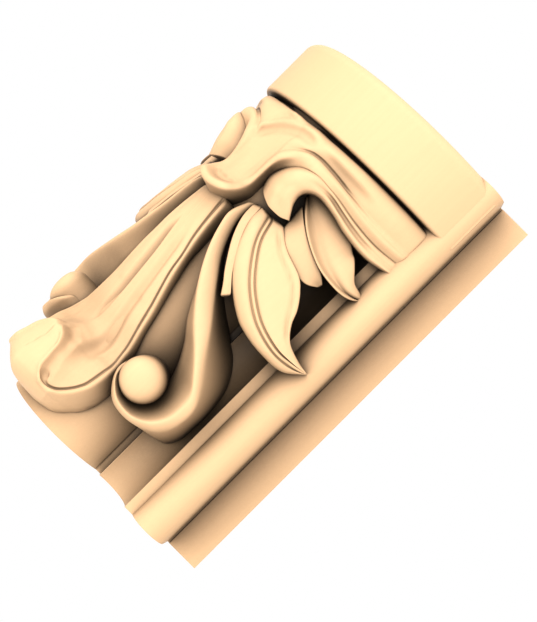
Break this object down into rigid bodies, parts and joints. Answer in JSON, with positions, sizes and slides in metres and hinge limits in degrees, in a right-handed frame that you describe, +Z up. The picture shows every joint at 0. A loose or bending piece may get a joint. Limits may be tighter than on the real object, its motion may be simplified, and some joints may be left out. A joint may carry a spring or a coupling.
{
  "type": "acanthus corbel",
  "caption": "Carved corner corbel: mirrored acanthus leaves and scrolls under a round block, on two moulded wings at a right angle.",
  "frame": {"origin": "centre of the right wing's flat back face, the face that is fastened to the wall or post", "axes": "+Z up the corbel, +Y out of the right wing's back face towards what holds it, +X along the right wing away from the corner; the left wing runs along +Y and its back faces +X"},
  "size_m": [0.1574, 0.1575, 0.24],
  "materials": {
    "limewood": "bare, sanded"
  },
  "bodies": {
    "root": {"corbel": "limewood"}
  },
  "joints": []
}
